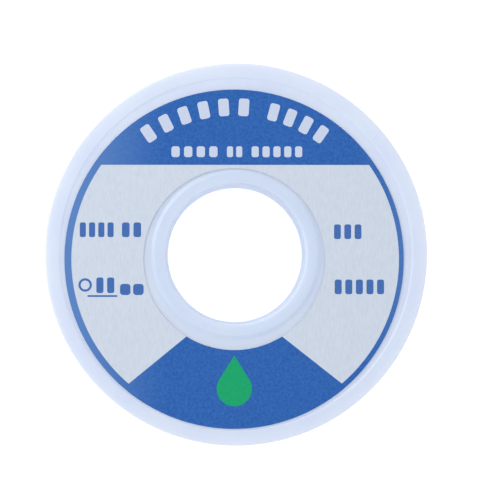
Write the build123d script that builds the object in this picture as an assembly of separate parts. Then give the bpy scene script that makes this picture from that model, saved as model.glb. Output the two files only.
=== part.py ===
"""A 100 g reel of flux-cored solder wire: a two-part moulded reel, its label, the winding and both wire ends.

The reel lies on its rear flange. The origin is on the spindle axis at the rear flange's outer face,
+Z runs along the axis towards the front flange, and +Y is the top of the label. All lengths are in mm.
"""
from build123d import *
import math
import os

# Reel
FLANGE_R = 30.0          # outer radius of both flanges
REEL_HEIGHT = 20.0       # from the rear face to the front collar's face
BORE_R = 11.0            # spindle bore
BORE_ROUND = 0.25        # rounding of the bore's front edge
FLANGE_INSIDE = 2.5      # height of the rear flange's inner face
FRONT_INSIDE = 17.5      # height of the front flange's inner face
COLLAR_RAISE = 0.22      # how far the front collar stands above the label's seat
RIM_RAISE = 0.12         # how far the front rim does
REAR_RECESS = 0.9        # depth of the rear recess, which the wire ends lie in
RIM_FOOT_R = 27.55       # inner edge of the rim, at the recess floor
RIM_TOP_R = 27.8         # the same edge at the rim's face
COLLAR_TOP_R = 12.8      # outer edge of the collar, at its face
COLLAR_FOOT_R = 13.35    # the same edge at the recess floor
FLANGE_EDGE_ROUND = 0.25 # rounding of the flange's outer edge
INNER_EDGE_ROUND = 0.7   # rounding of the flange's edge on the winding's side
COLLAR_ROUND = 0.35      # rounding of the collar's outer edge
STEP_ROUND = 0.15        # rounding at the foot of the collar and the rim

# Hub, where the front half's sleeve plugs into the rear half
HUB_R = 13.4             # barrel that the wire is wound on
SLEEVE_R = 12.1          # outside of the front half's sleeve
HUB_CLEARANCE = 0.05     # radial gap between sleeve and socket
SLEEVE_END = 0.05        # height of the sleeve's end above the rear face
SLEEVE_POINT = 0.3       # taper that leads the sleeve into its socket
SOCKET_CHAMFER = 0.15    # at both mouths of the socket
KEYS = 3                 # keys that stop the halves turning on each other
KEY_WIDTH = 2.0
KEY_R = 12.7             # outside of each key
KEY_LOW = 6.0            # height of each key's lower end
KEY_CLEARANCE = 0.05

# Wire and winding
WIRE_D = 0.8
CORE_D = 0.285           # flux core
CORE_PLUG = 1.0          # length of core modelled at each cut end
TURNS_PER_LAYER = 18
LAYERS = 13
LAYER_PITCH = WIRE_D * math.sqrt(3) / 2
WINDING_LOW = 2.6        # height of the winding's lower face
CREST_DEPTH = 0.25       # how deep the grooves between the outer turns are drawn

# Wire ends, which both leave through the rear flange
START_ANGLE = 200.0      # where the first turn leaves the barrel, degrees from +X
START_HOLE_LENGTH = 2.4  # radial length of the start hole
HOLE_WIDTH = 1.8
TAIL_Z = 0.49            # height of the tails' centreline in the rear recess
START_TAIL = 7.5         # length of the start tail in the recess
END_ANGLE = 318.0        # where the free end passes through the flange
END_R = 24.3             # radius of the free end's hole
END_TAIL = 8.0
CROSS_TURN = 150.0       # degrees over which the last strand crosses the winding
CROSS_STEPS = 5
CROSS_R = 23.85          # radius of the crossing strand's corners
TAIL_BEND = 0.9          # bend radius at the flange holes

# Label
LABEL_R = 26.62
LABEL_HOLE_R = 14.25
LABEL_THICK = 0.1
LABEL_OFF_X = -0.3       # the label is stuck on slightly off centre
LABEL_OFF_Y = -0.75

# Ejector pin marks in the rear recess
PIN_MARKS = 6
PIN_MARK_R = 1.5
PIN_MARK_DEPTH = 0.12
PIN_MARK_CIRCLE_R = 21.0

FRONT_RECESS = REEL_HEIGHT - COLLAR_RAISE  # height of the front recess floor
FRONT_RIM = FRONT_RECESS + RIM_RAISE       # height of the front rim's face
SOCKET_R = SLEEVE_R + HUB_CLEARANCE
OUTER_TURN_R = HUB_R + WIRE_D / 2 + LAYER_PITCH * (LAYERS - 1)
WINDING_HIGH = WINDING_LOW + WIRE_D * (TURNS_PER_LAYER + 0.5)


def revolved(outline):
    """A ring turned about Z from (radius, height, corner rounding) points."""
    points = [(radius, height) for radius, height, _ in outline]
    with BuildPart() as ring:
        with BuildSketch(Plane.XZ):
            with BuildLine():
                FilletPolyline(*points, radius=[rounding for _, _, rounding in outline], close=True)
            make_face()
        revolve(axis=Axis.Z)
    return ring.part


def flange_outline(collar, recess, rim, inside):
    """The outer side of a flange from its collar to its edge, with its faces at those heights."""
    return [
        (COLLAR_TOP_R, collar, COLLAR_ROUND),
        (COLLAR_FOOT_R, recess, STEP_ROUND),
        (RIM_FOOT_R, recess, STEP_ROUND),
        (RIM_TOP_R, rim, STEP_ROUND),
        (FLANGE_R, rim, FLANGE_EDGE_ROUND),
        (FLANGE_R, inside, INNER_EDGE_ROUND),
    ]


def keys(half_width, outer_r, low, high):
    """Axial bars round the sleeve, from inside its wall out to outer_r."""
    bars = Part()
    inner_r = SLEEVE_R - 0.5
    for index in range(KEYS):
        bar = Pos((inner_r + outer_r) / 2, 0, (low + high) / 2) * Box(
            outer_r - inner_r, 2 * half_width, high - low
        )
        bars += Rot(0, 0, 90 + index * 360 / KEYS) * bar
    return bars


def make_front_half():
    """Front flange with its rim, label recess and collar, and the sleeve that plugs into the rear half."""
    outline = [
        (BORE_R, REEL_HEIGHT, BORE_ROUND),
        *flange_outline(REEL_HEIGHT, FRONT_RECESS, FRONT_RIM, FRONT_INSIDE),
        (SLEEVE_R, FRONT_INSIDE, 0),
        (SLEEVE_R, SLEEVE_END + 2 * SLEEVE_POINT, 0),
        (SLEEVE_R - SLEEVE_POINT, SLEEVE_END, 0),
        (BORE_R + SLEEVE_POINT, SLEEVE_END, 0),
        (BORE_R, SLEEVE_END + SLEEVE_POINT, 0),
    ]
    return revolved(outline) + keys(KEY_WIDTH / 2, KEY_R, KEY_LOW, FRONT_INSIDE)


def start_hole():
    """The oblong hole by the barrel that the wire's start goes through."""
    long = START_HOLE_LENGTH
    hole = Pos(HUB_R + long / 2, 0, FLANGE_INSIDE / 2) * extrude(
        SlotOverall(long, HOLE_WIDTH), FLANGE_INSIDE, both=True
    )
    return Rot(0, 0, START_ANGLE) * hole


def end_hole():
    """The round hole near the rim that the free end goes through."""
    return Rot(0, 0, END_ANGLE) * Pos(END_R, 0, FLANGE_INSIDE / 2) * Cylinder(
        HOLE_WIDTH / 2, 2 * FLANGE_INSIDE
    )


def pin_marks():
    """Shallow discs that the ejector pins leave in the rear recess."""
    marks = Part()
    for index in range(PIN_MARKS):
        mark = Pos(PIN_MARK_CIRCLE_R, 0, REAR_RECESS) * Cylinder(PIN_MARK_R, 2 * PIN_MARK_DEPTH)
        marks += Rot(0, 0, 30 + index * 360 / PIN_MARKS) * mark
    return marks


def make_rear_half():
    """Rear flange and the barrel that the wire is wound on, with its socket, keyways and wire holes."""
    outline = [
        (SOCKET_R + SOCKET_CHAMFER, 0, 0),
        *flange_outline(0, REAR_RECESS, 0, FLANGE_INSIDE),
        (HUB_R, FLANGE_INSIDE, 0),
        (HUB_R, FRONT_INSIDE, 0),
        (SOCKET_R + SOCKET_CHAMFER, FRONT_INSIDE, 0),
        (SOCKET_R, FRONT_INSIDE - SOCKET_CHAMFER, 0),
        (SOCKET_R, SOCKET_CHAMFER, 0),
    ]
    keyways = keys(
        KEY_WIDTH / 2 + KEY_CLEARANCE,
        KEY_R + KEY_CLEARANCE,
        KEY_LOW - 0.2,
        FRONT_INSIDE + 1,
    )
    return revolved(outline) - keyways - start_hole() - end_hole() - pin_marks()


def make_winding():
    """The wound wire as one ring, with a rounded crest for each turn of the outer layer."""
    groove_r = OUTER_TURN_R + WIRE_D / 2 - CREST_DEPTH
    crest_r = OUTER_TURN_R + WIRE_D / 2
    with BuildPart() as winding:
        with BuildSketch(Plane.XZ):
            with BuildLine():
                for turn in range(TURNS_PER_LAYER):
                    low = WINDING_LOW + turn * WIRE_D
                    ThreePointArc(
                        (groove_r, low), (crest_r, low + WIRE_D / 2), (groove_r, low + WIRE_D)
                    )
                Polyline(
                    (groove_r, WINDING_LOW + TURNS_PER_LAYER * WIRE_D),
                    (groove_r - LAYER_PITCH, WINDING_HIGH),
                    (HUB_R, WINDING_HIGH),
                    (HUB_R, WINDING_LOW),
                    (groove_r, WINDING_LOW),
                )
            make_face()
        revolve(axis=Axis.Z)
    return winding.part


def polar(radius, angle, height):
    """A point at that radius, angle from +X in degrees, and height."""
    return Vector(
        radius * math.cos(math.radians(angle)), radius * math.sin(math.radians(angle)), height
    )


def tube(points, radii):
    """Round wire along straight runs joined by tangent arcs, and the path that it follows."""
    path = FilletPolyline(*points, radius=radii)
    section = Plane(origin=path @ 0, z_dir=path % 0) * Circle(WIRE_D / 2)
    return sweep(section, path=path), path


def core_plug(path):
    """The flux core's last stretch before the cut end of a wire's path."""
    at_end = Plane(origin=path @ 1, z_dir=-(path % 1))
    return at_end * extrude(Circle(CORE_D / 2), CORE_PLUG)


def start_tail_route():
    """From the barrel's first turn down through the start hole, then flat along the rear recess."""
    out_r = HUB_R + WIRE_D / 2 + 0.25
    top = polar(out_r, START_ANGLE, WINDING_LOW)
    corner = polar(out_r, START_ANGLE, TAIL_Z)
    heading = polar(START_TAIL, START_ANGLE + 55, 0)
    return [top, corner, corner + heading], [TAIL_BEND]


def free_end_route():
    """Across the winding from its last turn, down through the end hole, then flat along the rear recess."""
    high = WINDING_LOW + WIRE_D * (TURNS_PER_LAYER - 0.5)
    low = FLANGE_INSIDE + 2.2
    points = []
    for step in range(CROSS_STEPS + 1):
        share = step / CROSS_STEPS
        angle = END_ANGLE - 14 - CROSS_TURN * (1 - share)
        points.append(polar(CROSS_R, angle, high + (low - high) * share))
    hole_top = polar(END_R, END_ANGLE, FLANGE_INSIDE + 0.7)
    corner = polar(END_R, END_ANGLE, TAIL_Z)
    heading = polar(END_TAIL, END_ANGLE + 110, 0)
    points += [hole_top, corner, corner + heading]
    radii = []
    for before, at, after in zip(points, points[1:], points[2:]):
        shorter = min((at - before).length, (after - at).length)
        turn = math.radians((at - before).get_angle(after - at))
        radii.append(0.45 * shorter / math.tan(turn / 2))
    radii[-1] = min(radii[-1], TAIL_BEND)
    print("free end bend radii, mm:", [round(radius, 2) for radius in radii])
    return points, radii


def make_label():
    """The round self-adhesive label, stuck slightly off centre in the front recess."""
    place = Pos(LABEL_OFF_X, LABEL_OFF_Y, FRONT_RECESS + LABEL_THICK / 2)
    return place * (Cylinder(LABEL_R, LABEL_THICK) - Cylinder(LABEL_HOLE_R, 2 * LABEL_THICK))


def save(node, shape):
    """Writes one node's STEP file."""
    export_step(shape, f"parts/{node}.step")


os.makedirs("parts", exist_ok=True)
start_tail, start_path = tube(*start_tail_route())
free_end, free_path = tube(*free_end_route())
start_core, end_core = core_plug(start_path), core_plug(free_path)
section = math.pi * WIRE_D ** 2 / 4
for name, shape, path in (("start", start_tail, start_path), ("free end", free_end, free_path)):
    print(name, "length", round(path.length, 2), "volume ratio", round(shape.volume / section / path.length, 4))

save("front_half", make_front_half())
save("rear_half", make_rear_half())
save("front_label", make_label())
save("solder_winding", make_winding())
save("wire_start_tail", start_tail - start_core)
save("wire_free_end", free_end - end_core)
save("flux_core", Compound(children=[start_core, end_core]))
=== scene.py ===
import math
import random

import bmesh
import bpy
from mathutils import Matrix, Vector


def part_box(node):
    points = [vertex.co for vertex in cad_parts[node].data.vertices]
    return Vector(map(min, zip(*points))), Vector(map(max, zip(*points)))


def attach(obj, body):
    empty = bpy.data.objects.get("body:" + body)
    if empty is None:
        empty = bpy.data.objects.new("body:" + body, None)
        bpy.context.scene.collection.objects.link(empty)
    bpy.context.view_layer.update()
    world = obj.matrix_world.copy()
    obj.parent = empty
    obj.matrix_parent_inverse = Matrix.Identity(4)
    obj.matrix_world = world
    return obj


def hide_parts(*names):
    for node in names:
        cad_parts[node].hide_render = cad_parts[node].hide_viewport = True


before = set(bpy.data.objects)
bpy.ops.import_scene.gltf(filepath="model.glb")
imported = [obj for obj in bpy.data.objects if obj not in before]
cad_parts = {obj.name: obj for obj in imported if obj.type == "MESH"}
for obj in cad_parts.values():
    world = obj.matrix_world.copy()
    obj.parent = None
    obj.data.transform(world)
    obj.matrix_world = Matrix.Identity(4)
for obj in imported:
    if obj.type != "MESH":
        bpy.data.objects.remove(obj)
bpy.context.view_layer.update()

MM = 0.001

# ------------------------------------------------------------------ sizes, in mm unless the name says

_, reel_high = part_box("front_half")
label_low, label_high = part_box("front_label")
winding_low, winding_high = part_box("solder_winding")

LABEL_TOP = label_high.z / MM
LABEL_BOTTOM = label_low.z / MM
LABEL_R = (label_high.x - label_low.x) / 2 / MM
LABEL_X = (label_high.x + label_low.x) / 2 / MM
LABEL_Y = (label_high.y + label_low.y) / 2 / MM
LABEL_HOLE_R = 14.25

WIRE_D = 0.8
BARREL_R = 13.4
LAYERS = 13
TURNS_PER_LAYER = 18
LAYER_PITCH = WIRE_D * math.sqrt(3) / 2     # each layer lies in the grooves of the one below
OUTER_R = BARREL_R + WIRE_D / 2 + LAYER_PITCH * (LAYERS - 1)
WINDING_LOW = winding_low.z / MM
WINDING_HIGH = winding_high.z / MM
HIDDEN_STEPS = 13          # control points in a turn of the layers that don't show
OUTER_STEPS = 36           # and in a turn of the layer that does
WANDER = 0.02              # the outer turns stray by up to this much
FLANGE_INSIDE = 2.5        # inner face of the rear flange
TAIL_Z = 0.49              # both tails lie this high, in the rear recess

START_ANGLE = 200.0        # where the wire's start comes through the rear flange
START_R = BARREL_R + WIRE_D / 2 + 0.25
START_TAIL = 7.5
START_TAIL_TURN = 55.0     # the tail lies at this angle to the radius through its hole

END_ANGLE = 318.0          # where the free end goes back through the rear flange
END_R = 24.3
END_TAIL = 8.0
END_TAIL_TURN = 110.0
HOLE_TOP = FLANGE_INSIDE + 0.7

CROSS_END = END_ANGLE - 14     # the last strand crosses the winding between these angles
CROSS_START = CROSS_END - 150
CROSS_R = 23.2
CROSS_LOW = FLANGE_INSIDE + 2.2
CROSS_STEPS = 9
CLIMB_TURN = 24.0          # before that it climbs over the turn below, over this many degrees
CLIMB_STEPS = 4
CLIMB_LAG = 4.0            # and is on top of it this far past where the crossing starts
CLIMB_END_GAP = 14.0       # from the start of the crossing to its first control point
CLIMB_DROP = 0.5           # how much lower that point is than the turn climbed over
CLIMB_CLEAR = 1.05         # distance from that turn's centre, in wire diameters
UNDER_TURN_Z = WINDING_HIGH - 1.6 * WIRE_D


# ------------------------------------------------------------------ colours and nodes

def linear(code):
    """An sRGB hex colour as linear red, green, blue and alpha."""
    channels = [int(code[i:i + 2], 16) / 255 for i in (1, 3, 5)]
    return [c / 12.92 if c <= 0.04045 else ((c + 0.055) / 1.055) ** 2.4 for c in channels] + [1.0]


def add(tree, kind, settings=None, **inputs):
    """Adds a node, with its settings, and with each input set to a value or linked to a socket."""
    node = tree.nodes.new(kind)
    for name, value in (settings or {}).items():
        setattr(node, name, value)
    for name, value in inputs.items():
        key = int(name[1:]) if name[0] == "_" else name.replace("_", " ")
        if isinstance(value, bpy.types.NodeSocket):
            tree.links.new(value, node.inputs[key])
        else:
            node.inputs[key].default_value = value
    return node


def finish_named(name):
    """A new material, its node tree, its shader and the place of each point on the piece, in metres."""
    material = bpy.data.materials.new(name)
    material.use_nodes = True
    tree = material.node_tree
    shader = tree.nodes["Principled BSDF"]
    place = add(tree, "ShaderNodeTexCoord").outputs["Object"]
    return material, tree, shader, place


def per_metre(size_mm):
    """The texture scale that gives features of that size."""
    return 1 / (size_mm * MM)


def ramp(tree, factor, stops):
    """A colour ramp through (position, hex colour) stops."""
    node = add(tree, "ShaderNodeValToRGB", _0=factor)
    elements = node.color_ramp.elements
    while len(elements) < len(stops):
        elements.new(0.5)
    for element, (position, code) in zip(elements, stops):
        element.position = position
        element.color = linear(code)
    return node.outputs["Color"]


def spread(tree, value, low, high):
    """A 0 to 1 value spread over low to high."""
    return add(tree, "ShaderNodeMapRange", Value=value, To_Min=low, To_Max=high).outputs["Result"]


def grain(tree, place, size_mm, detail=2.0, roughness=0.5):
    """Noise with grains of that size."""
    node = add(
        tree, "ShaderNodeTexNoise", Vector=place, Scale=per_metre(size_mm),
        Detail=detail, Roughness=roughness,
    )
    return node.outputs["Fac"]


def relief(tree, shader, height, depth_mm, below=None):
    """Bump of that depth on the shader, over another bump where one is given."""
    node = add(tree, "ShaderNodeBump", Height=height, Distance=depth_mm * MM, Strength=1.0)
    if below is not None:
        tree.links.new(below, node.inputs["Normal"])
    tree.links.new(node.outputs["Normal"], shader.inputs["Normal"])
    return node.outputs["Normal"]


# ------------------------------------------------------------------ finishes

HUB_EDGE_R = (12.6, 15.0)  # the painted shade round the bore fades out between these radii
FLOW_MM = 4.0              # width of the flow lines that moulding leaves
FLOW_DEPTH = 0.010
SKIN_MM = 0.35             # grain of the mould's satin skin, drawn coarse enough to show
SKIN_DEPTH = 0.0025
CLOUD_MM = 9.0             # slow changes in how milky it is


def moulded_polystyrene():
    """Milky white polystyrene, injection moulded: light soaks in a little, and the skin is satin, with
    faint flow lines and fine grain. Round the bore the colour is painted a shade deeper and bluer: a
    painted shade, in place of the dimmer light that comes back out of the thick hub."""
    material, tree, shader, place = finish_named("milky_moulded_polystyrene")
    cloud = grain(tree, place, CLOUD_MM, detail=3.0)
    paler_tone = ramp(tree, cloud, [(0.30, "#D9E3FB"), (0.70, "#DFE9FD")])
    # painted shade: deeper, bluer plastic round the bore, for the dimmer light out of the thick hub
    painted_hub_shade = ramp(tree, cloud, [(0.30, "#D1DFF7"), (0.70, "#D7E4FA")])
    flat = add(
        tree, "ShaderNodeVectorMath", {"operation": "MULTIPLY"}, _0=place, _1=(1.0, 1.0, 0.0),
    ).outputs[0]
    radius = add(tree, "ShaderNodeVectorMath", {"operation": "LENGTH"}, _0=flat).outputs["Value"]
    past_hub = add(
        tree, "ShaderNodeMapRange", {"interpolation_type": "SMOOTHSTEP"},
        Value=radius, From_Min=HUB_EDGE_R[0] * MM, From_Max=HUB_EDGE_R[1] * MM,
    ).outputs["Result"]
    tone = add(
        tree, "ShaderNodeMix", {"data_type": "RGBA"}, _0=past_hub, _6=painted_hub_shade, _7=paler_tone,
    ).outputs[2]
    tree.links.new(tone, shader.inputs["Base Color"])
    skin = grain(tree, place, SKIN_MM, detail=3.0)
    tree.links.new(spread(tree, skin, 0.34, 0.46), shader.inputs["Roughness"])
    shader.inputs["IOR"].default_value = 1.55
    shader.inputs["Subsurface Weight"].default_value = 0.5
    shader.inputs["Subsurface Radius"].default_value = (1.2, 1.05, 1.0)
    shader.inputs["Subsurface Scale"].default_value = 2.0 * MM
    flow = grain(tree, place, FLOW_MM, detail=1.0)
    soft = relief(tree, shader, flow, FLOW_DEPTH)
    relief(tree, shader, skin, SKIN_DEPTH, below=soft)
    return material


FIBRE_MM = 0.30            # fibre width, drawn coarse enough to show, and four times as long
FIBRE_SHORTENING = (1.0, 0.25, 1.0)
PRINT_DEPTH = 0.003        # relief of the coating and of the ink


def label_paper():
    """Machine-coated label paper: a cool grey-white, with faint fibres under the coating along the web."""
    material, tree, shader, place = finish_named("coated_label_paper")
    stretched = add(tree, "ShaderNodeMapping", Vector=place, Scale=FIBRE_SHORTENING).outputs["Vector"]
    fibres = grain(tree, stretched, FIBRE_MM, detail=3.0, roughness=0.6)
    tone = ramp(tree, fibres, [(0.30, "#CCD7E6"), (0.70, "#D6E0ED")])
    tree.links.new(tone, shader.inputs["Base Color"])
    tree.links.new(spread(tree, fibres, 0.42, 0.52), shader.inputs["Roughness"])
    relief(tree, shader, fibres, PRINT_DEPTH)
    return material


NO_SHEEN_X = 4.0           # the blue carries no painted sheen along this line down the label
NO_SHEEN_REACH = 13.5      # and stays so for this far to each side
FULL_SHEEN_REACH = 30.5      # and carries the full painted sheen from here out
MOTTLE_MM = 0.45           # patches where the ink takes unevenly


def painted_sheen_share(tree, place):
    """How much painted sheen the blue takes: 0 over the middle of the label, rising to 1 at its left edge
    and to about half at its right.
    """
    across = add(tree, "ShaderNodeSeparateXYZ", Vector=place).outputs["X"]
    offset = add(
        tree, "ShaderNodeMath", {"operation": "SUBTRACT"}, _0=across, _1=NO_SHEEN_X * MM,
    ).outputs[0]
    distance = add(tree, "ShaderNodeMath", {"operation": "ABSOLUTE"}, _0=offset).outputs[0]
    return add(
        tree, "ShaderNodeMapRange", {"interpolation_type": "SMOOTHSTEP"},
        Value=distance, From_Min=NO_SHEEN_REACH * MM, From_Max=FULL_SHEEN_REACH * MM,
    ).outputs["Result"]


def printed_ink(name, deep, light, paler_tone=None):
    """Offset ink on coated paper: the solid colour is mottled, because the ink lies unevenly on the fibres.
    Where a paler tone is given, the colour is blended to it towards the label's sides: a painted sheen,
    where the light falls brighter."""
    material, tree, shader, place = finish_named(name)
    mottle = grain(tree, place, MOTTLE_MM, detail=5.0, roughness=0.75)
    tone = ramp(tree, mottle, [(0.28, deep), (0.72, light)])
    # painted sheen: the blue is blended paler towards the label's sides
    if paler_tone is not None:
        tone = add(
            tree, "ShaderNodeMix", {"data_type": "RGBA"},
            _0=painted_sheen_share(tree, place), _6=tone, _7=linear(paler_tone),
        ).outputs[2]
    tree.links.new(tone, shader.inputs["Base Color"])
    tree.links.new(spread(tree, mottle, 0.36, 0.50), shader.inputs["Roughness"])
    shader.inputs["Specular IOR Level"].default_value = 0.25
    relief(tree, shader, mottle, PRINT_DEPTH)
    return material


TARNISH_MM = 2.6           # dull patches
DIE_MARK_MM = 0.16         # marks of the drawing die, drawn coarse enough to show
DIE_MARK_DEPTH = 0.004


def drawn_solder():
    """Tin-lead solder, drawn through a die and wound: a soft grey metal, with dull patches where it has
    tarnished."""
    material, tree, shader, place = finish_named("drawn_tin_lead_solder")
    tarnish = grain(tree, place, TARNISH_MM, detail=4.0, roughness=0.6)
    tone = ramp(tree, tarnish, [(0.30, "#C3C4C6"), (0.55, "#D4D4D5"), (0.80, "#DEDDDC")])
    tree.links.new(tone, shader.inputs["Base Color"])
    shader.inputs["Metallic"].default_value = 1.0
    marks = grain(tree, place, DIE_MARK_MM, detail=3.0, roughness=0.65)
    tree.links.new(spread(tree, marks, 0.24, 0.44), shader.inputs["Roughness"])
    relief(tree, shader, marks, DIE_MARK_DEPTH)
    return material


ROSIN_CLOUD_MM = 0.12


def rosin_flux():
    """Rosin flux, set inside the wire: cloudy amber, glossy where it is cut."""
    material, tree, shader, place = finish_named("amber_rosin_flux")
    cloud = grain(tree, place, ROSIN_CLOUD_MM, detail=2.0)
    tone = ramp(tree, cloud, [(0.3, "#B9741C"), (0.7, "#D89A3C")])
    tree.links.new(tone, shader.inputs["Base Color"])
    tree.links.new(spread(tree, cloud, 0.12, 0.25), shader.inputs["Roughness"])
    shader.inputs["IOR"].default_value = 1.53
    shader.inputs["Subsurface Weight"].default_value = 0.3
    shader.inputs["Subsurface Scale"].default_value = 0.2 * MM
    return material


PAPER_TOOTH_MM = 1.5


def studio_floor():
    """Matt sweep paper, lit from behind until it is just over white."""
    material, tree, shader, place = finish_named("white_sweep_paper")
    tooth = grain(tree, place, PAPER_TOOTH_MM, detail=2.0)
    tone = ramp(tree, tooth, [(0.3, "#8C8D8F"), (0.7, "#929395")])
    tree.links.new(tone, shader.inputs["Base Color"])
    shader.inputs["Roughness"].default_value = 0.95
    shader.inputs["Specular IOR Level"].default_value = 0.1
    shader.inputs["Emission Color"].default_value = linear("#FFFFFF")
    shader.inputs["Emission Strength"].default_value = 0.90
    return material


# ------------------------------------------------------------------ the moulded halves and the flux core

def finish_nodes(material, *nodes):
    """Gives CAD nodes their finish."""
    for node in nodes:
        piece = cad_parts[node]
        piece.data.materials.clear()
        piece.data.materials.append(material)


# ------------------------------------------------------------------ the wire

def polar(radius, angle, height):
    """A point in metres at that radius and height in mm, and angle from +X in degrees."""
    turn = math.radians(angle)
    return Vector((radius * math.cos(turn), radius * math.sin(turn), height)) * MM


def start_route():
    """The start tail in the rear recess, then up through the flange to the barrel."""
    corner = polar(START_R, START_ANGLE, TAIL_Z)
    heading = polar(1, START_ANGLE + START_TAIL_TURN, 0) / MM
    rise = WINDING_LOW - TAIL_Z
    return [
        corner + heading * START_TAIL * MM,
        corner + heading * rise * MM,
        corner,
        polar(START_R, START_ANGLE, WINDING_LOW),
    ]


def winding_route(end_angle):
    """Every turn of every layer, from the barrel out, up the reel and down again."""
    rng = random.Random(8)
    low = WINDING_LOW + WIRE_D / 2
    travel = WINDING_HIGH - WIRE_D / 2 - low
    points = []
    for layer in range(LAYERS):
        outer = layer == LAYERS - 1
        per_turn = OUTER_STEPS if outer else HIDDEN_STEPS
        turns = TURNS_PER_LAYER - (START_ANGLE - end_angle) / 360 if outer else TURNS_PER_LAYER
        radius = BARREL_R + WIRE_D / 2 + LAYER_PITCH * layer
        # control points stand outside the curve that they shape
        control_r = radius / math.cos(math.pi / per_turn)
        for step in range(round(turns * per_turn)):
            turn = (step + 0.5) / per_turn
            share = turn / TURNS_PER_LAYER
            if layer % 2:
                share = 1 - share
            wander = rng.uniform(-WANDER, WANDER) if outer else 0.0
            points.append(polar(control_r + wander, START_ANGLE + 360 * turn, low + travel * share))
    return points


def free_route():
    """The last strand: over the turn below it, across the winding, down through the rear flange, and
    its tail in the recess."""
    points = []
    for step in range(CLIMB_STEPS):
        share = (step + 0.5) / CLIMB_STEPS
        round_turn = math.radians(90 * share)
        radius = OUTER_R + CLIMB_CLEAR * WIRE_D * math.sin(round_turn)
        angle = CROSS_START - CLIMB_TURN * (1 - share) + CLIMB_LAG
        points.append(polar(radius, angle, UNDER_TURN_Z + WIRE_D * math.cos(round_turn)))
    high = UNDER_TURN_Z - CLIMB_DROP
    first = CROSS_START + CLIMB_END_GAP
    for step in range(CROSS_STEPS + 1):
        share = step / CROSS_STEPS
        angle = first + (CROSS_END - first) * share
        points.append(polar(CROSS_R, angle, high + (CROSS_LOW - high) * share))
    hole_top = polar(END_R, END_ANGLE, HOLE_TOP)
    corner = polar(END_R, END_ANGLE, TAIL_Z)
    heading = polar(1, END_ANGLE + END_TAIL_TURN, 0) / MM
    fall = (hole_top - corner).length
    return points + [hole_top, corner, corner + heading * fall, corner + heading * END_TAIL * MM]


def wind_wire(material):
    """The whole length of solder wire, as one smooth line with a round section."""
    points = start_route() + winding_route(CROSS_START - CLIMB_TURN) + free_route()
    line = bpy.data.curves.new("solder_wire", "CURVE")
    line.dimensions = "3D"
    spline = line.splines.new("NURBS")
    spline.points.add(len(points) - 1)
    for control, point in zip(spline.points, points):
        control.co = (*point, 1.0)
    spline.order_u = 3
    spline.use_endpoint_u = True
    spline.resolution_u = 2
    line.resolution_u = 2
    line.bevel_depth = WIRE_D / 2 * MM
    line.bevel_resolution = 3
    line.use_fill_caps = True
    line.materials.append(material)
    wire = bpy.data.objects.new("solder_wire", line)
    bpy.context.scene.collection.objects.link(wire)
    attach(wire, "wound_half")
    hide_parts("solder_winding", "wire_start_tail", "wire_free_end")


# ------------------------------------------------------------------ the printed label

PRINT_X = 0.165            # the print sits this far right of the die-cut ring
BAND_R = 25.68             # inner edge of the blue side bands
TOP_FIELD_Y = 14.78        # lower edge of the blue top field
APEX_Y = -6.1              # the lower blue field's edges meet here
FIELD_SLOPE = 38.75        # and fall at this many degrees
PRINT_THICK = 0.006
PRINT_INSET = 0.02         # the print stops this far inside the die cut
ARC_STEP = 1.5             # degrees between points on an arc
CORNER_STEPS = 6           # points round a block's corner
MERGE_WITHIN = 0.0005

DROP_PLACE = (0.0, -20.3)
DROP_R = 2.75
DROP_TIP = 5.2             # above the centre of its round part

TITLE_R = 23.85            # the first line of words runs round at this radius
TITLE_HEIGHT = 2.75
TITLE_CORNER = 0.4
SECOND_LINE_Y = 16.84
SECOND_LINE_HEIGHT = 1.70
ENTRY_HEIGHT = 2.30
SIGN_PLACE = (-23.35, -4.05)   # the plain ring in place of the diameter sign
SIGN_R = (1.05, 0.70)


def arc(radius, start, end, centre=(0.0, 0.0)):
    """Points along an arc, from one angle to another in degrees."""
    steps = max(2, math.ceil(abs(end - start) / ARC_STEP))
    turns = [math.radians(start + (end - start) * i / steps) for i in range(steps + 1)]
    return [(centre[0] + radius * math.cos(t), centre[1] + radius * math.sin(t)) for t in turns]


def ring(radius, centre=(0.0, 0.0)):
    """A closed round loop."""
    return arc(radius, 0, 360, centre)[:-1]


def rounded_block(x, y, width, height, corner, turn=0.0):
    """A rounded rectangle about a point, turned by that many degrees."""
    points = []
    for quarter, (sx, sy) in enumerate(((1, 1), (-1, 1), (-1, -1), (1, -1))):
        centre = (sx * (width / 2 - corner), sy * (height / 2 - corner))
        for i in range(CORNER_STEPS + 1):
            t = math.radians(90 * quarter + 90 * i / CORNER_STEPS)
            points.append((centre[0] + corner * math.cos(t), centre[1] + corner * math.sin(t)))
    t = math.radians(turn)
    return [
        (x + px * math.cos(t) - py * math.sin(t), y + px * math.sin(t) + py * math.cos(t))
        for px, py in points
    ]


def on_circle(slope, radius):
    """Where the line that falls from the apex to the right at that slope meets a circle round the
    label's centre."""
    t = math.radians(-slope)
    dx, dy = math.cos(t), math.sin(t)
    along = APEX_Y * dy
    reach = -along + math.sqrt(along * along - APEX_Y * APEX_Y + radius * radius)
    return reach * dx, APEX_Y + reach * dy


def panel_outline():
    """The unprinted panels and the hole between them: everything that the blue leaves out."""
    out_x, out_y = on_circle(FIELD_SLOPE, BAND_R)
    in_x, in_y = on_circle(FIELD_SLOPE, LABEL_HOLE_R)
    top = math.degrees(math.asin(TOP_FIELD_Y / BAND_R))
    outer = math.degrees(math.atan2(out_y, out_x))
    inner = math.degrees(math.atan2(in_y, in_x))
    right = arc(BAND_R, outer, top)
    left = arc(BAND_R, 180 - top, 180 - outer)
    under = arc(LABEL_HOLE_R + 0.002, 180 - inner, 360 + inner)
    return [(x + PRINT_X, y) for x, y in right + left] + under


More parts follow.
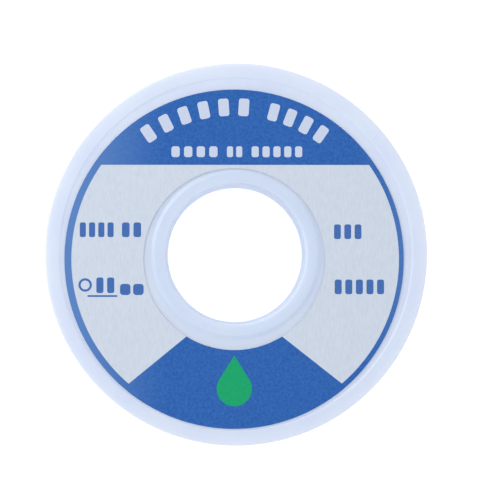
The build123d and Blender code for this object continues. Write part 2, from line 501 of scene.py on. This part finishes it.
def word(x0, x1, y, height, blocks, fill=0.66):
    """A row of plain rounded blocks in place of a word."""
    pitch = (x1 - x0) / (blocks - 1 + fill)
    width = pitch * fill
    return [
        rounded_block(x0 + width / 2 + pitch * i, y, width, height, min(width, height) * 0.3)
        for i in range(blocks)
    ]


def curved_word(radius, start, end, height, blocks, width):
    """The same along an arc, from one block's angle to the last one's."""
    loops = []
    for i in range(blocks):
        angle = start + (end - start) * i / (blocks - 1)
        t = math.radians(angle)
        loops.append(
            rounded_block(
                radius * math.cos(t), radius * math.sin(t), width, height, TITLE_CORNER, angle - 90,
            )
        )
    return loops


def drop(x, y, radius, tip):
    """A drop: round below, and drawn to a point at that height above its centre."""
    lean = math.degrees(math.acos(radius / tip))
    body = arc(radius, 90 + lean, 450 - lean, (x, y))
    return body + [(x, y + tip)]


def flat_shape(loops, bottom, thickness):
    """A closed slab of that thickness over the area inside the loops, less the loops inside those."""
    shape = bpy.data.curves.new("loops", "CURVE")
    shape.dimensions = "2D"
    shape.fill_mode = "BOTH"
    shape.extrude = thickness / 2 * MM
    for loop in loops:
        spline = shape.splines.new("POLY")
        spline.points.add(len(loop) - 1)
        for point, (x, y) in zip(spline.points, loop):
            point.co = (x * MM, y * MM, 0.0, 1.0)
        spline.use_cyclic_u = True
    holder = bpy.data.objects.new("loops", shape)
    bpy.context.scene.collection.objects.link(holder)
    bpy.context.view_layer.update()
    graph = bpy.context.evaluated_depsgraph_get()
    mesh = bpy.data.meshes.new_from_object(holder.evaluated_get(graph))
    bpy.data.objects.remove(holder)
    bpy.data.curves.remove(shape)
    mesh.transform(Matrix.Translation(Vector((LABEL_X, LABEL_Y, bottom + thickness / 2)) * MM))
    return mesh


def make_label(paper, blue, light_blue, white, green):
    """The die-cut ring, and over it each ink as its own thin film."""
    top = LABEL_TOP
    second = top + PRINT_THICK
    layers = [
        (paper, [ring(LABEL_R), ring(LABEL_HOLE_R)], LABEL_BOTTOM, top - LABEL_BOTTOM),
        (blue, [ring(LABEL_R - PRINT_INSET), panel_outline()], top, PRINT_THICK),
        (white, title_blocks(), second, PRINT_THICK),
        (light_blue, panel_blocks(), top, PRINT_THICK),
        (green, [drop(*DROP_PLACE, DROP_R, DROP_TIP)], second, PRINT_THICK),
    ]
    form = bmesh.new()
    for index, (_, loops, bottom, thickness) in enumerate(layers):
        mesh = flat_shape(loops, bottom, thickness)
        before = len(form.faces)
        form.from_mesh(mesh)
        form.faces.ensure_lookup_table()
        for face in form.faces[before:]:
            face.material_index = index
            face.smooth = False
        bpy.data.meshes.remove(mesh)
    bmesh.ops.remove_doubles(form, verts=form.verts, dist=MERGE_WITHIN * MM)
    mesh = bpy.data.meshes.new("ring_label")
    form.to_mesh(mesh)
    form.free()
    for material, *_ in layers:
        mesh.materials.append(material)
    label = bpy.data.objects.new("ring_label", mesh)
    bpy.context.scene.collection.objects.link(label)
    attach(label, "labelled_half")
    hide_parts("front_label")


def title_blocks():
    """White blocks on the blue top field, in place of its two lines of words."""
    return [
        *curved_word(TITLE_R, 124.3, 86.4, TITLE_HEIGHT, 6, 1.65),
        *curved_word(TITLE_R, 75.0, 55.3, TITLE_HEIGHT, 4, 1.55),
        *word(-9.85, -2.62, SECOND_LINE_Y, SECOND_LINE_HEIGHT, 4),
        *word(-1.15, 1.25, SECOND_LINE_Y, SECOND_LINE_HEIGHT, 2),
        *word(2.72, 10.66, SECOND_LINE_Y, SECOND_LINE_HEIGHT, 5),
    ]


def panel_blocks():
    """Blue blocks on the panels, in place of their four short lines."""
    return [
        *word(-24.2, -18.9, 4.60, ENTRY_HEIGHT, 4),
        *word(-17.6, -14.6, 4.60, ENTRY_HEIGHT, 2),
        ring(SIGN_R[0], SIGN_PLACE),
        ring(SIGN_R[1], SIGN_PLACE),
        *word(-21.6, -18.8, -4.10, 2.45, 2),
        rounded_block(-20.65, -5.78, 4.7, 0.28, 0.13),
        *word(-17.9, -14.2, -4.75, 1.75, 2, fill=0.8),
        *word(15.65, 19.95, 4.30, ENTRY_HEIGHT, 3),
        *word(15.75, 23.5, -4.35, ENTRY_HEIGHT, 5),
    ]


# ------------------------------------------------------------------ the studio

CAMERA_HEIGHT = 400.0      # above the front face
CAMERA_X = -4.6
CAMERA_Y = -2.8
AIM_X = 2.167
AIM_Y = 0.681
FIELD_WIDTH = 78.35        # seen at the front face
SENSOR = 36.0

FLOOR_SIZE_M = 6.0
FLOOR_DROP = 0.01          # the floor is this far below the reel, so that they share no plane
BACKDROP_R_M = 2.8
BACKDROP_HEIGHT_M = 0.6
BACKDROP_SIDES = 96
SURROUND_STRENGTH = 0.80
KEY_X, KEY_Y, KEY_Z = -280, 190, 200
KEY_SIZE = 240
KEY_WATTS = 0.55


def aimed(x, y, z, target):
    """A matrix at that place in mm, looking at the target with +Y up in the picture."""
    place = Vector((x, y, z)) * MM
    back = (place - target).normalized()
    right = Vector((0, 1, 0)).cross(back).normalized()
    up = back.cross(right)
    turn = Matrix((right, up, back)).transposed()
    return Matrix.Translation(place) @ turn.to_4x4()


def set_camera():
    """Above the front face, a little to the left and low, and aimed just right of the bore."""
    lens = bpy.data.cameras.new("camera")
    lens.sensor_width = SENSOR
    lens.lens = SENSOR * CAMERA_HEIGHT / FIELD_WIDTH
    lens.clip_start = 0.01
    lens.clip_end = 20.0
    camera = bpy.data.objects.new("camera", lens)
    bpy.context.scene.collection.objects.link(camera)
    face = reel_high.z
    camera.matrix_world = aimed(
        CAMERA_X, CAMERA_Y, face / MM + CAMERA_HEIGHT, Vector((AIM_X * MM, AIM_Y * MM, face))
    )
    bpy.context.scene.camera = camera


def soft_box(name, x, y, z, size, watts, colour):
    """A square soft light, aimed at the reel."""
    light = bpy.data.lights.new(name, "AREA")
    light.shape = "SQUARE"
    light.size = size * MM
    light.energy = watts
    light.color = linear(colour)[:3]
    lamp = bpy.data.objects.new(name, light)
    bpy.context.scene.collection.objects.link(lamp)
    lamp.matrix_world = aimed(x, y, z, Vector((0, 0, reel_high.z / 2)))


def set_studio(floor_material):
    """A white floor and low backdrop in an even white surround, with a soft box at the upper left."""
    bpy.ops.mesh.primitive_plane_add(size=FLOOR_SIZE_M, location=(0, 0, -FLOOR_DROP * MM))
    floor = bpy.context.object
    floor.name = "floor"
    floor.data.materials.append(floor_material)
    bpy.ops.mesh.primitive_cylinder_add(
        vertices=BACKDROP_SIDES, radius=BACKDROP_R_M, depth=BACKDROP_HEIGHT_M,
        end_fill_type="NOTHING", location=(0, 0, BACKDROP_HEIGHT_M / 2),
    )
    wall = bpy.context.object
    wall.name = "backdrop"
    wall.data.materials.append(floor_material)
    world = bpy.data.worlds.new("surround")
    world.use_nodes = True
    background = world.node_tree.nodes["Background"]
    background.inputs["Color"].default_value = linear("#FBFCFF")
    background.inputs["Strength"].default_value = SURROUND_STRENGTH
    scene = bpy.context.scene
    scene.world = world
    scene.view_settings.view_transform = "Standard"
    scene.view_settings.look = "None"
    soft_box("key_light", KEY_X, KEY_Y, KEY_Z, KEY_SIZE, KEY_WATTS, "#FFFAF6")


# ------------------------------------------------------------------ build

set_camera()
wind_wire(drawn_solder())
finish_nodes(moulded_polystyrene(), "front_half", "rear_half")
finish_nodes(rosin_flux(), "flux_core")
make_label(
    label_paper(),
    # the paler tone is the painted sheen at the label's sides
    printed_ink("blue_offset_ink", "#1753A5", "#3471BF", paler_tone="#5985C6"),
    printed_ink("fine_blue_offset_ink", "#3967AE", "#4874BA"),
    printed_ink("unprinted_white", "#C9D5EB", "#D1DCF0"),
    printed_ink("green_offset_ink", "#00A265", "#0BAE70"),
)
set_studio(studio_floor())
